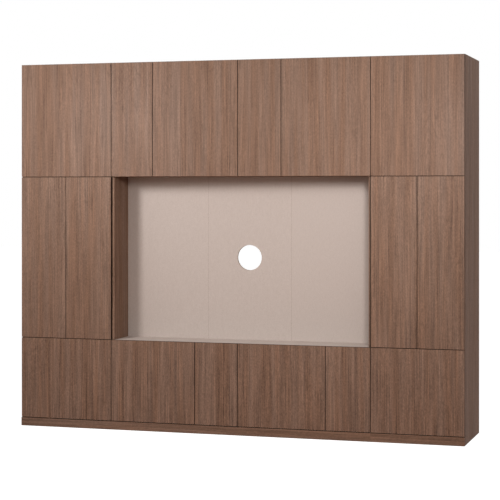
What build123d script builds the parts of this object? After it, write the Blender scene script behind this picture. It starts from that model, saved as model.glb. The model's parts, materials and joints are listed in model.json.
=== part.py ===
from build123d import *
import os

# Handleless media wall unit: two full-height towers, two upper and two base cabinets between
# them, and a shallow television niche in the middle. Millimetres, +X to the viewer's right,
# +Y to the wall, +Z up. The origin lies on the floor, in the middle of the unit's footprint.

# overall size
unit_width = 2964
unit_height = 2400
unit_depth = 575

# division of the front
left_tower_width = 642
right_tower_width = 588
centre_module_count = 6
plinth_line = 56.5
lower_line = 588
upper_line = 1653
front_gap = 3
end_reveal = 2
top_reveal = 1.5

# boards
board_thickness = 18
door_thickness = 18
door_edge_easing = 0.8
bumper_gap = 2
lining_thickness = 15
niche_panel_thickness = 15
niche_depth = 245
niche_panel_count = 3
post_width = 70
post_thickness = 18
plinth_thickness = 18

# back boards in their grooves
back_thickness = 6
groove_depth = 8
groove_play = 0.2
back_inset = 12

# cable hole through the niche's middle panel
cable_hole_diameter = 165
cable_hole_height = 1125

# adjustable shelves on pins
low_shelf_count = 1
middle_shelf_count = 2
upper_shelf_count = 1
shelf_setback = 25
shelf_side_play = 1
shelf_rear_play = 3
pin_diameter = 5
pin_side_count = 6
pin_depth = 8
pin_play = 0.05
pin_tongue_length = 9
pin_tongue_width = 9
pin_tongue_thickness = 6
pin_inset = 60

# concealed cup hinges
tall_door_height = 900
hinge_inset = 95
middle_hinge_drop = 90
cup_diameter = 35
cup_side_count = 12
cup_depth = 12.5
cup_centre_inset = 22.5
cup_play = 0.2
cup_wall = 1
cup_floor_play = 0.7
cup_well_width = 15
cup_well_length = 26
flange_length = 58
flange_width = 38
flange_corner = 9
flange_thickness = 1
link_width = 9
link_thickness = 11
link_reach = 1.4
link_setback = 6
plate_distance = 37
plate_height = 50
plate_width = 17
plate_thickness = 2.5
saddle_width = 13
saddle_length = 46
saddle_height = 4.5
arm_width = 15
arm_length = 60
arm_height = 6.5
arm_wall = 1.6
arm_nose_gap = 1.6
arm_nose_length = 22
arm_nose_rise = 7

# push latches that spring a door open
latch_width = 16
latch_height = 12
latch_length = 58
latch_setback = 2
latch_inset = 36
plunger_diameter = 8
plunger_side_count = 6
plunger_gap = 0.3

# levelling feet
foot_inset = 80
foot_depth_inset = 75
foot_side_count = 8
foot_pad_radius = 28
foot_pad_height = 8
foot_stem_side_count = 6
foot_stem_radius = 10
clip_width = 14
clip_height = 10
clip_level = 24

# rails that take one screw each into the wall
rail_height = 108
rail_hole_diameter = 6.5

# small overrun of every cut past the faces that it opens
overrun = 1

# places worked out from the sizes
left_x = -unit_width / 2
right_x = unit_width / 2
front_y = -unit_depth / 2
rear_y = unit_depth / 2
door_back_y = front_y + door_thickness
carcass_y = door_back_y + bumper_gap
left_seam = left_x + left_tower_width
right_seam = right_x - right_tower_width
module = (right_seam - left_seam) / centre_module_count
centre_x = (left_seam + right_seam) / 2
half_gap = front_gap / 2
carcass_floor = plinth_line + half_gap
sill_top = lower_line - half_gap
niche_top = upper_line + half_gap
deck_rear_y = rear_y - back_inset - back_thickness
niche_panel_y = carcass_y + niche_depth
post_y = niche_panel_y + niche_panel_thickness
left_middle = (left_x + left_seam) / 2
right_middle = (right_seam + right_x) / 2
rail_bottom = unit_height - rail_height
rail_hole_height = (rail_bottom + unit_height - board_thickness) / 2


# a board between two places on each axis
def block(x, y, z):
    size = (x[1] - x[0], y[1] - y[0], z[1] - z[0])
    return Pos((x[0] + x[1]) / 2, (y[0] + y[1]) / 2, (z[0] + z[1]) / 2) * Box(*size)


# a round bar along Y
def bar_along_y(radius, x, y, z):
    return Pos(x, (y[0] + y[1]) / 2, z) * Rot(90, 0, 0) * Cylinder(radius, y[1] - y[0])


# a many-sided bar along X, for small round hardware
def rod_along_x(radius, side_count, x, y, z):
    outline = Plane.YZ * RegularPolygon(radius, side_count)
    return Pos(x[0], y, z) * extrude(outline, x[1] - x[0])


# the same along Y
def rod_along_y(radius, side_count, x, y, z):
    outline = Plane.XZ * RegularPolygon(radius, side_count)
    return Pos(x, y[1], z) * extrude(outline, y[1] - y[0])


# the same upright
def rod_along_z(radius, side_count, x, y, z):
    return Pos(x, y, z[0]) * extrude(RegularPolygon(radius, side_count), z[1] - z[0])


# a plate that lies in the XZ plane and is thick along Y, with its corners cut off
def plate_in_xz(width, height, corner, x, y, z):
    outline = chamfer(Rectangle(width, height).vertices(), corner)
    return Pos(x, y[1], z) * extrude(Plane.XZ * outline, y[1] - y[0])


# how many hinges carry a door, and their heights
def hinge_heights(z):
    low = z[0] + hinge_inset
    high = z[1] - hinge_inset
    if z[1] - z[0] < tall_door_height:
        return [low, high]
    return [low, (low + high) / 2 - middle_hinge_drop, high]


# heights of the shelves that divide a compartment evenly
def shelf_heights(z, count):
    clear = z[1] - z[0] - count * board_thickness
    step = clear / (count + 1) + board_thickness
    return [z[0] + step * (index + 1) - board_thickness for index in range(count)]


# the groove that a back board slides in, cut in the face of a side board that looks at it
def back_groove(face_x, inward, z):
    floor_x = face_x - inward * groove_depth
    x = sorted([floor_x, face_x + inward * overrun])
    y = [deck_rear_y - groove_play, deck_rear_y + back_thickness + groove_play]
    return block(x, y, [z[0] - overrun, z[1] + overrun])


# the holes that shelf pins go into, in one side face of a compartment
def pin_holes(face_x, inward, heights):
    x = sorted([face_x - inward * (pin_depth + pin_play), face_x + inward * overrun])
    radius = pin_diameter / 2 + pin_play
    levels = [height - pin_tongue_thickness / 2 for height in heights]
    return [rod_along_x(radius, pin_side_count, x, y, level) for y in pin_rows() for level in levels]


# where the two rows of pins stand, measured along the depth
def pin_rows():
    return [carcass_y + shelf_setback + pin_inset, deck_rear_y - shelf_rear_play - pin_inset]


# an upright board of a cabinet: outer face at face_x - inward * thickness, with its groove and pin holes
def side_board(face_x, inward, z, heights):
    x = sorted([face_x - inward * board_thickness, face_x])
    board = block(x, [carcass_y, rear_y], z)
    for cut in [back_groove(face_x, inward, z)] + pin_holes(face_x, inward, heights):
        board -= cut
    return board


# a lying board between two upright ones
def deck(x, z_bottom):
    return block(x, [carcass_y, deck_rear_y], [z_bottom, z_bottom + board_thickness])


# a thin back board, standing in the grooves of its two sides and behind the decks
def back_board(x, z):
    reach = groove_depth - groove_play
    return block([x[0] - reach, x[1] + reach], [deck_rear_y, deck_rear_y + back_thickness], z)


# a shelf and the four pins it lies on
def loose_shelf(x, height):
    y = [carcass_y + shelf_setback, deck_rear_y - shelf_rear_play]
    return block([x[0] + shelf_side_play, x[1] - shelf_side_play], y, [height, height + board_thickness])


def shelf_pins(x, height):
    pins = []
    level = height - pin_tongue_thickness / 2
    for face_x, inward in ((x[0], 1), (x[1], -1)):
        for y in pin_rows():
            shank_x = sorted([face_x - inward * pin_depth, face_x])
            tongue_x = sorted([face_x, face_x + inward * pin_tongue_length])
            tongue_y = [y - pin_tongue_width / 2, y + pin_tongue_width / 2]
            shank = rod_along_x(pin_diameter / 2, pin_side_count, shank_x, y, level)
            pins.append(shank + block(tongue_x, tongue_y, [height - pin_tongue_thickness, height]))
    return pins


# one compartment behind the doors: its clear space and its number of loose shelves
def compartment(x, z, shelves):
    return {"x": x, "z": z, "heights": shelf_heights(z, shelves)}


# the three compartments of a tower, one above the other
def tower_rooms(x):
    half_board = board_thickness / 2
    return [
        compartment(x, [carcass_floor + board_thickness, lower_line - half_board], low_shelf_count),
        compartment(x, [lower_line + half_board, upper_line - half_board], middle_shelf_count),
        compartment(x, [upper_line + half_board, unit_height - board_thickness], upper_shelf_count),
    ]


# the base cabinet's compartment and the one of the upper cabinet over it
def cabinet_rooms(x):
    return [
        compartment(x, clear_height(base_span), low_shelf_count),
        compartment(x, clear_height(upper_span), upper_shelf_count),
    ]


tower_spaces = {
    "left": [left_x + board_thickness, left_seam - board_thickness],
    "right": [right_seam + board_thickness, right_x - board_thickness],
}
cabinet_spaces = {
    "left": [left_seam + board_thickness, centre_x - board_thickness],
    "right": [centre_x + board_thickness, right_seam - board_thickness],
}
base_top = sill_top - board_thickness
base_span = [carcass_floor, base_top]
upper_span = [niche_top, unit_height]


# the clear space of a box cabinet between its bottom and top boards
def clear_height(span):
    return [span[0] + board_thickness, span[1] - board_thickness]


compartments = []
for side in ("left", "right"):
    compartments += tower_rooms(tower_spaces[side]) + cabinet_rooms(cabinet_spaces[side])


# the heights of every shelf that rests between the two side faces x
def heights_between(x):
    return [height for room in compartments if room["x"] == x for height in room["heights"]]


# the two full-height side boards of a tower, which stand on the floor
def tower_side(x, end):
    face_x = x[end]
    inward = 1 if end == 0 else -1
    return side_board(face_x, inward, [0, unit_height], heights_between(x))


# bottom board, the two boards behind the joints between door rows, and top board
def tower_decks(x):
    bottoms = [
        carcass_floor,
        lower_line - board_thickness / 2,
        upper_line - board_thickness / 2,
        unit_height - board_thickness,
    ]
    return [deck(x, bottom) for bottom in bottoms]


# two sides, bottom and top of a box cabinet between the towers
def box_cabinet(x, span):
    inner = clear_height(span)
    heights = [height for height in heights_between(x) if inner[0] < height < inner[1]]
    sides = [side_board(x[0], 1, span, heights), side_board(x[1], -1, span, heights)]
    return sides + [deck(x, span[0]), deck(x, span[1] - board_thickness)]


# rail above the back board, level with the unit's rear, with its screw hole below the top board
def wall_rail(x):
    rail = block(x, [deck_rear_y, rear_y], [rail_bottom, unit_height])
    hole_y = [deck_rear_y - overrun, rear_y + overrun]
    return rail - bar_along_y(rail_hole_diameter / 2, (x[0] + x[1]) / 2, hole_y, rail_hole_height)


# one door with eased front edges and the round pockets for its hinge cups
def door_panel(x, z, hinge_x, inward):
    panel = block(x, [front_y, door_back_y], z)
    front_edges = panel.faces().sort_by(Axis.Y)[0].edges()
    panel = chamfer(front_edges, door_edge_easing)
    pocket_y = [door_back_y - cup_depth, door_back_y + overrun]
    for height in hinge_heights(z):
        cup_x = hinge_x + inward * cup_centre_inset
        panel -= rod_along_y(cup_diameter / 2, cup_side_count, cup_x, pocket_y, height)
    return panel


# hinge cup with its flange on the door's back, and the links folded into its well
def hinge_cup(hinge_x, inward, height):
    cup_x = hinge_x + inward * cup_centre_inset
    floor_y = door_back_y - cup_depth + cup_floor_play
    flange_y = [door_back_y, door_back_y + flange_thickness]
    cup_y = [floor_y, door_back_y]
    cup = rod_along_y(cup_diameter / 2 - cup_play, cup_side_count, cup_x, cup_y, height)
    cup += plate_in_xz(flange_width, flange_length, flange_corner, cup_x, flange_y, height)
    well_x = [cup_x - cup_well_length / 2, cup_x + cup_well_length / 2]
    well_z = [height - cup_well_width / 2, height + cup_well_width / 2]
    cup -= block(well_x, [floor_y + cup_wall, flange_y[1] + overrun], well_z)
    start = cup_x - inward * cup_well_length / 2 + inward * link_setback
    link_x = sorted([start, start + inward * link_thickness])
    link_z = [height - link_width / 2, height + link_width / 2]
    return [cup, block(link_x, [floor_y + cup_wall, door_back_y + link_reach], link_z)]


# mounting plate screwed to the side board's face
def hinge_plate(face_x, inward, height):
    plate_y = carcass_y + plate_distance
    base_x = sorted([face_x, face_x + inward * plate_thickness])
    base_y = [plate_y - plate_width / 2, plate_y + plate_width / 2]
    base = block(base_x, base_y, [height - plate_height / 2, height + plate_height / 2])
    saddle_x = sorted([face_x, face_x + inward * (plate_thickness + saddle_height)])
    saddle_y = [plate_y - saddle_length / 2, plate_y + saddle_length / 2]
    return base + block(saddle_x, saddle_y, [height - saddle_width / 2, height + saddle_width / 2])


# hinge arm: a folded steel channel over the plate, with a cranked nose that reaches to the cup
def hinge_arm(face_x, inward, height):
    seat = plate_thickness + saddle_height
    front = carcass_y + arm_nose_gap
    rear = front + arm_length
    profile = [
        (seat + arm_nose_rise, front),
        (seat + arm_nose_rise + arm_height, front),
        (seat + arm_height, front + arm_nose_length),
        (seat + arm_height, rear),
        (seat, rear),
        (seat, front + arm_nose_length),
    ]
    outline = make_face(Polyline([(face_x + inward * rise, y) for rise, y in profile], close=True))
    arm = Pos(0, 0, height - arm_width / 2) * extrude(outline, arm_width, dir=(0, 0, 1))
    channel_x = sorted([face_x + inward * seat, face_x + inward * (seat + arm_height - arm_wall)])
    channel_z = [height - arm_width / 2 + arm_wall, height + arm_width / 2 - arm_wall]
    return arm - block(channel_x, [front + arm_nose_length, rear + overrun], channel_z)


# push latch on a deck near the door's free edge: housing and plunger
def push_latch(free_x, inward, deck_z, upward):
    latch_x = free_x + inward * latch_inset
    housing_y = [carcass_y + latch_setback, carcass_y + latch_setback + latch_length]
    middle_z = deck_z + upward * latch_height / 2
    housing_x = [latch_x - latch_width / 2, latch_x + latch_width / 2]
    housing = block(housing_x, housing_y, sorted([deck_z, deck_z + upward * latch_height]))
    plunger_y = [door_back_y + plunger_gap, housing_y[0]]
    plunger = rod_along_y(plunger_diameter / 2, plunger_side_count, latch_x, plunger_y, middle_z)
    return [housing, plunger]


# levelling foot under a bottom board, the front ones with the clip that holds the plinth
def levelling_foot(x, y, holds_plinth):
    foot = rod_along_z(foot_pad_radius, foot_side_count, x, y, [0, foot_pad_height])
    foot += rod_along_z(foot_stem_radius, foot_stem_side_count, x, y, [foot_pad_height, carcass_floor])
    if holds_plinth:
        clip_x = [x - clip_width / 2, x + clip_width / 2]
        foot += block(clip_x, [front_y + plinth_thickness, y], [clip_level, clip_level + clip_height])
    return foot


def feet_under(x):
    front = carcass_y + foot_depth_inset
    rear = deck_rear_y - foot_depth_inset
    places = [x[0] + foot_inset, x[1] - foot_inset]
    return [levelling_foot(place, y, y == front) for place in places for y in (front, rear)]


# plinth board, level with the door faces
def plinth_board(x):
    return block(x, [front_y, front_y + plinth_thickness], [0, plinth_line - half_gap])


# one of the panels that close the niche, the middle one with the cable hole
def niche_panel(index):
    low = left_seam + lining_thickness
    width = (right_seam - left_seam - 2 * lining_thickness) / niche_panel_count
    x = [low + width * index, low + width * (index + 1)]
    panel = block(x, [niche_panel_y, post_y], [sill_top, niche_top])
    if index == niche_panel_count // 2:
        hole_y = [niche_panel_y - overrun, post_y + overrun]
        panel -= bar_along_y(cable_hole_diameter / 2, centre_x, hole_y, cable_hole_height)
    return panel


# posts behind the joints of the niche panels and at both their ends
def niche_posts():
    low = left_seam + lining_thickness
    width = (right_seam - left_seam - 2 * lining_thickness) / niche_panel_count
    y = [post_y, post_y + post_thickness]
    z = [sill_top, niche_top]
    posts = []
    for joint in range(1, niche_panel_count):
        middle = low + width * joint
        posts.append(block([middle - post_width / 2, middle + post_width / 2], y, z))
    posts.append(block([left_seam, left_seam + post_width], y, z))
    posts.append(block([right_seam - post_width, right_seam], y, z))
    return posts


# the fronts of a row from left to right: name, kind of width, and the side that its hinges are on
upper_row = [
    ("upper_door_far_left", "left_tower", "left"),
    ("upper_door_narrow_left", "narrow", "left"),
    ("upper_door_wide_left", "wide", "right"),
    ("upper_door_narrow_right", "narrow", "left"),
    ("upper_door_wide_right", "wide", "right"),
    ("upper_door_far_right", "right_tower", "right"),
]
lower_row = [
    ("lower_door_far_left", "left_tower", "left"),
    ("lower_door_wide_left", "wide", "left"),
    ("lower_door_narrow_left", "narrow", "right"),
    ("lower_door_wide_right", "wide", "left"),
    ("lower_door_narrow_right", "narrow", "right"),
    ("lower_door_far_right", "right_tower", "right"),
]


# turns a row into doors: the place of each door, its hinged edge and its free edge
def doors_of_row(row, z):
    widths = {
        "left_tower": left_tower_width,
        "right_tower": right_tower_width,
        "narrow": module,
        "wide": module + module,
    }
    doors = []
    low = left_x
    for name, kind, hinged in row:
        high = low + widths[kind]
        doors.append(placed_door(name, low, high, z, hinged))
        low = high
    return doors


def placed_door(name, low, high, z, hinged):
    left_edge = low + (end_reveal if low == left_x else half_gap)
    right_edge = high - (end_reveal if abs(high - right_x) < half_gap else half_gap)
    inward = 1 if hinged == "left" else -1
    hinge_x, free_x = (left_edge, right_edge) if hinged == "left" else (right_edge, left_edge)
    board_face = (low + board_thickness) if hinged == "left" else (high - board_thickness)
    return {
        "name": name,
        "x": [left_edge, right_edge],
        "z": z,
        "hinge_x": hinge_x,
        "free_x": free_x,
        "inward": inward,
        "board_face": board_face,
    }


upper_z = [niche_top, unit_height - top_reveal]
tower_z = [lower_line + half_gap, upper_line - half_gap]
lower_z = [carcass_floor, sill_top]
doors = doors_of_row(upper_row, upper_z) + doors_of_row(lower_row, lower_z)
doors.append(placed_door("left_tower_door_outer", left_x, left_middle, tower_z, "left"))
doors.append(placed_door("left_tower_door_inner", left_middle, left_seam, tower_z, "right"))
doors.append(placed_door("right_tower_door_inner", right_seam, right_middle, tower_z, "left"))
doors.append(placed_door("right_tower_door_outer", right_middle, right_x, tower_z, "right"))


# the deck face that a door's latch sits on, and the way it stands out from it
def latch_seat(door):
    over_tower = door["x"][1] < left_seam or door["x"][0] > right_seam
    if door["z"] == upper_z:
        return (upper_line + board_thickness / 2 if over_tower else niche_top + board_thickness), 1
    if door["z"] == tower_z:
        return upper_line - board_thickness / 2, -1
    return (lower_line - board_thickness / 2 if over_tower else base_top - board_thickness), -1


# all pieces, sorted into the nodes they are written as
nodes = {}
nodes["plinth_left"] = [plinth_board([left_x, left_seam - half_gap])]
nodes["plinth_centre"] = [plinth_board([left_seam + half_gap, right_seam - half_gap])]
nodes["plinth_right"] = [plinth_board([right_seam + half_gap, right_x])]
nodes["left_tower_outer_side"] = [tower_side(tower_spaces["left"], 0)]
nodes["left_tower_inner_side"] = [tower_side(tower_spaces["left"], 1)]
nodes["right_tower_inner_side"] = [tower_side(tower_spaces["right"], 0)]
nodes["right_tower_outer_side"] = [tower_side(tower_spaces["right"], 1)]
for side in ("left", "right"):
    nodes[side + "_tower_decks"] = tower_decks(tower_spaces[side])
    nodes["upper_cabinet_" + side] = box_cabinet(cabinet_spaces[side], upper_span)
    nodes["base_cabinet_" + side] = box_cabinet(cabinet_spaces[side], base_span)

nodes["back_boards"] = []
nodes["wall_rails"] = []
for side in ("left", "right"):
    nodes["back_boards"].append(back_board(tower_spaces[side], [carcass_floor, rail_bottom]))
    nodes["back_boards"].append(back_board(cabinet_spaces[side], base_span))
    nodes["back_boards"].append(back_board(cabinet_spaces[side], [niche_top, rail_bottom]))
    nodes["wall_rails"].append(wall_rail(tower_spaces[side]))
    nodes["wall_rails"].append(wall_rail(cabinet_spaces[side]))

lining_span = [[carcass_y, post_y], [sill_top, niche_top]]
nodes["niche_lining_left"] = [block([left_seam, left_seam + lining_thickness], *lining_span)]
nodes["niche_lining_right"] = [block([right_seam - lining_thickness, right_seam], *lining_span)]
nodes["niche_sill"] = [block([left_seam, right_seam], [carcass_y, rear_y], [base_top, sill_top])]
for index, place in enumerate(("left", "centre", "right")):
    nodes["niche_panel_" + place] = [niche_panel(index)]
nodes["niche_posts"] = niche_posts()

nodes["loose_shelves"] = []
nodes["shelf_pins"] = []
for room in compartments:
    for height in room["heights"]:
        nodes["loose_shelves"].append(loose_shelf(room["x"], height))
        nodes["shelf_pins"] += shelf_pins(room["x"], height)

nodes["levelling_feet"] = []
for side in ("left", "right"):
    nodes["levelling_feet"] += feet_under(tower_spaces[side]) + feet_under(cabinet_spaces[side])

nodes["hinge_plates"] = []
nodes["hinge_arms"] = []
nodes["push_latches"] = []
for door in doors:
    nodes[door["name"]] = [door_panel(door["x"], door["z"], door["hinge_x"], door["inward"])]
    nodes[door["name"] + "_cups"] = []
    for height in hinge_heights(door["z"]):
        nodes[door["name"] + "_cups"] += hinge_cup(door["hinge_x"], door["inward"], height)
        nodes["hinge_plates"].append(hinge_plate(door["board_face"], door["inward"], height))
        nodes["hinge_arms"].append(hinge_arm(door["board_face"], door["inward"], height))
    seat, upward = latch_seat(door)
    nodes["push_latches"] += push_latch(door["free_x"], -door["inward"], seat, upward)

os.makedirs("parts", exist_ok=True)
for name, pieces in nodes.items():
    shape = pieces[0] if len(pieces) == 1 else Compound(children=pieces)
    export_step(shape, "parts/" + name + ".step")
print(len(nodes), "nodes,", sum(len(pieces) for pieces in nodes.values()), "pieces")
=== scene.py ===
import json
import math
import random

import bmesh
import bpy
from mathutils import Matrix, Vector


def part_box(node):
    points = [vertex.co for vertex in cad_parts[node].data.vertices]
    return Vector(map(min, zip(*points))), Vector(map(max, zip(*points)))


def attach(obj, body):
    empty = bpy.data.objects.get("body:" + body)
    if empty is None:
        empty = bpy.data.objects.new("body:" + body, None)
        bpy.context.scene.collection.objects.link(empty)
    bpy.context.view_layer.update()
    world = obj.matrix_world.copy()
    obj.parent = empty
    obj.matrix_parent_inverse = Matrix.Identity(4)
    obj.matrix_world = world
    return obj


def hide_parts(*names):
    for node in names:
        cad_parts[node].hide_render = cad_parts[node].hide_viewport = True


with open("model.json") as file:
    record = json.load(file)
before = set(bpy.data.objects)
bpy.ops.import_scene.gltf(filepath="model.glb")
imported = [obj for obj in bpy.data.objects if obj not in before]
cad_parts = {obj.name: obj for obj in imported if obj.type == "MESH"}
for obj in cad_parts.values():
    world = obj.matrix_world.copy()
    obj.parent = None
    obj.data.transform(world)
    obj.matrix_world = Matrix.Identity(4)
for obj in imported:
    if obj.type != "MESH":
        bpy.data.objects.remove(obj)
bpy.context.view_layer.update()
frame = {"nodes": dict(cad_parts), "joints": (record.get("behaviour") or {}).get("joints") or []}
nodes = frame["nodes"]
joints = frame["joints"]
print("frame loaded,", len(nodes), "nodes")


# colours are written as on screen, 0 to 255, and turned into the linear values that shaders want
def colour(red, green, blue):
    def linear(value):
        share = value / 255
        if share <= 0.04045:
            return share / 12.92
        return ((share + 0.055) / 1.055) ** 2.4
    return (linear(red), linear(green), linear(blue), 1.0)


def scaledColour(tint, factor):
    return tuple(factor * value for value in tint[:3]) + (1.0,)


def newMaterial(name):
    material = bpy.data.materials.new(name)
    material.use_nodes = True
    tree = material.node_tree
    tree.nodes.clear()
    output = tree.nodes.new("ShaderNodeOutputMaterial")
    shader = tree.nodes.new("ShaderNodeBsdfPrincipled")
    tree.links.new(shader.outputs["BSDF"], output.inputs["Surface"])
    return material, tree, shader


def objectCoords(tree):
    return tree.nodes.new("ShaderNodeTexCoord").outputs["Object"]


# the X, Y and Z of a vector
def separated(tree, vector):
    node = tree.nodes.new("ShaderNodeSeparateXYZ")
    tree.links.new(vector, node.inputs["Vector"])
    return node.outputs


def stretched(tree, source, scale, shift=(0, 0, 0)):
    mapping = tree.nodes.new("ShaderNodeMapping")
    mapping.inputs["Scale"].default_value = scale
    mapping.inputs["Location"].default_value = shift
    tree.links.new(source, mapping.inputs["Vector"])
    return mapping.outputs["Vector"]


def noise(tree, vector, detail=2.0, roughness=0.5, distortion=0.0):
    node = tree.nodes.new("ShaderNodeTexNoise")
    node.inputs["Scale"].default_value = 1.0
    node.inputs["Detail"].default_value = detail
    node.inputs["Roughness"].default_value = roughness
    node.inputs["Distortion"].default_value = distortion
    tree.links.new(vector, node.inputs["Vector"])
    return node.outputs["Fac"]


def ramp(tree, value, low, high, fromValue=0.0, toValue=1.0):
    node = tree.nodes.new("ShaderNodeMapRange")
    node.inputs["From Min"].default_value = low
    node.inputs["From Max"].default_value = high
    node.inputs["To Min"].default_value = fromValue
    node.inputs["To Max"].default_value = toValue
    tree.links.new(value, node.inputs["Value"])
    return node.outputs["Result"]


def maths(tree, operation, first, second=None):
    node = tree.nodes.new("ShaderNodeMath")
    node.operation = operation
    for socket, value in zip(node.inputs, (first, second)):
        if value is None:
            continue
        if isinstance(value, (int, float)):
            socket.default_value = value
        else:
            tree.links.new(value, socket)
    return node.outputs["Value"]


def distance(tree, value, middle):
    return maths(tree, "ABSOLUTE", maths(tree, "SUBTRACT", value, middle))


def mixColour(tree, factor, first, second, blend="MIX"):
    node = tree.nodes.new("ShaderNodeMix")
    node.data_type = "RGBA"
    node.blend_type = blend
    for socket, value in ((node.inputs[0], factor), (node.inputs[6], first), (node.inputs[7], second)):
        if isinstance(value, (int, float, tuple)):
            socket.default_value = value
        else:
            tree.links.new(value, socket)
    return node.outputs[2]


def toned(tree, base, tone):
    return mixColour(tree, 1.0, base, (tone, tone, tone, 1.0), "MULTIPLY")


def mixShaders(tree, factor, first, second):
    node = tree.nodes.new("ShaderNodeMixShader")
    tree.links.new(factor, node.inputs["Fac"])
    tree.links.new(first, node.inputs[1])
    tree.links.new(second, node.inputs[2])
    return node.outputs["Shader"]


def addBump(tree, shader, height, strength, depth):
    node = tree.nodes.new("ShaderNodeBump")
    node.inputs["Strength"].default_value = strength
    node.inputs["Distance"].default_value = depth
    tree.links.new(height, node.inputs["Height"])
    tree.links.new(node.outputs["Normal"], shader.inputs["Normal"])


# how far a face looks along one axis of the object, 0 to 1
def facing(tree, axis):
    normal = tree.nodes.new("ShaderNodeTexCoord").outputs["Normal"]
    return maths(tree, "ABSOLUTE", separated(tree, normal)[axis])


# 1 on the faces that look along an axis, either way
def looksAlong(tree, axis):
    return ramp(tree, facing(tree, axis), 0.9, 0.96)


# 0 on open faces, rising to strength beside an edge
def edgeMask(tree, width, strength):
    rounded = tree.nodes.new("ShaderNodeBevel")
    rounded.samples = 6
    rounded.inputs["Radius"].default_value = width
    geometry = tree.nodes.new("ShaderNodeNewGeometry")
    together = tree.nodes.new("ShaderNodeVectorMath")
    together.operation = "DOT_PRODUCT"
    tree.links.new(rounded.outputs["Normal"], together.inputs[0])
    tree.links.new(geometry.outputs["Normal"], together.inputs[1])
    return ramp(tree, together.outputs["Value"], 0.98, 0.8, 0.0, strength)


# 1 where a surface is seen straight or in a mirror, 0 where it only lights others
def seenDirectly(tree):
    paths = tree.nodes.new("ShaderNodeLightPath").outputs
    seen = maths(tree, "MAXIMUM", paths["Is Camera Ray"], paths["Is Glossy Ray"])
    return maths(tree, "MAXIMUM", seen, paths["Is Transmission Ray"])


# the scale of a noise that is stretched along the grain
def grainScale(grain, across, along):
    return [along if axis == grain else across for axis in "XYZ"]


# every board and panel takes its pattern from a place of its own
def patternPlace(seed):
    random.seed(seed)
    return [random.uniform(-40, 40) for axis in range(3)]


walnut = {
    "lightest": colour(173, 137, 115),
    "darkest": colour(46, 36, 33),
    "warm": (1.035, 0.995, 0.955, 1.0),    # the warm and the grey streaks differ only a little
    "grey": (0.965, 1.005, 1.045, 1.0),
    "warmToGrey": (0.38, 0.62),
    "vein": colour(84, 64, 52),
    # painted shade: the dark colour that stands for the shade on narrow faces, slanted faces and in
    # the gaps between boards
    "edge": colour(48, 37, 30),
    # painted highlight along the rounded edges of the doors
    "easedEdge": colour(176, 138, 114),
    "easedWidth": 0.0026,
    "easedStrength": 0.6,
    # painted shadow lines along the plinth boards' long edges
    "darkLineWidth": 0.0022,
    "darkLineStrength": 0.85,
    "openEnds": (1.476, 1.4765),    # further out no neighbour throws a shadow on the edges
    "streaks": (    # per metre across the grain, per metre along it, strength
        (22.0, 0.8, 0.27),
        (75.0, 1.4, 0.33),
        (165.0, 2.6, 0.62),
        (230.0, 90.0, 0.5),
        (950.0, 26.0, 0.42),
    ),
    "streakDetail": 1.5,
    "contrast": {"upper": 0.88, "tower": 1.05, "lower": 1.28},    # by the row of doors
    "wander": 0.007,    # how far the streaks bend aside, in metres
    "wanderNoise": (9.0, 1.7, 2.0),    # as in all these noises: across, along, detail
    "ripple": 0.005,    # how far the dark veins waver aside, in metres
    "rippleNoise": (16.0, 13.0, 1.0),
    "veins": 0.66,
    "veinNoise": (115.0, 4.5, 1.0),
    "veinRange": (0.62, 0.76),
    "veinGroupNoise": (12.0, 3.4, 2.0),
    "veinGroupRange": (0.46, 0.6),
    "figure": 0.26,
    "figureNoise": (9.0, 1.3, 1.0),
    "figureRings": 17.0,
    "figureLine": 0.2,    # half of a ring's width, as a share of the way to the next one
    "figureGroupNoise": (6.0, 1.6, 2.0),
    "figureGroupRange": (0.5, 0.62),
    "roughness": 0.46,
    "roughnessSpread": 0.06,
    "specular": 0.12,
    "bump": (0.25, 0.0003),
}


# X and Z change places on faces that look up or down, so that a lying board has its grain along X
def laidAlongX(tree, source):
    axes = separated(tree, source)
    swapped = tree.nodes.new("ShaderNodeCombineXYZ")
    for read, write in (("Z", "X"), ("Y", "Y"), ("X", "Z")):
        tree.links.new(axes[read], swapped.inputs[write])
    chosen = tree.nodes.new("ShaderNodeMix")
    chosen.data_type = "VECTOR"
    tree.links.new(ramp(tree, facing(tree, "Z"), 0.69, 0.71), chosen.inputs[0])
    tree.links.new(source, chosen.inputs[4])
    tree.links.new(swapped.outputs["Vector"], chosen.inputs[5])
    return chosen.outputs[1]


# moves a pattern aside, across the grain, by a noise, so that its lines bend
def bent(tree, source, grain, by, amount):
    aside = tree.nodes.new("ShaderNodeCombineXYZ")
    move = ramp(tree, by, 0.0, 1.0, -amount, amount)
    for axis in "XYZ".replace(grain, ""):
        tree.links.new(move, aside.inputs[axis])
    joined = tree.nodes.new("ShaderNodeVectorMath")
    tree.links.new(source, joined.inputs[0])
    tree.links.new(aside.outputs["Vector"], joined.inputs[1])
    return joined.outputs["Vector"]
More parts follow.
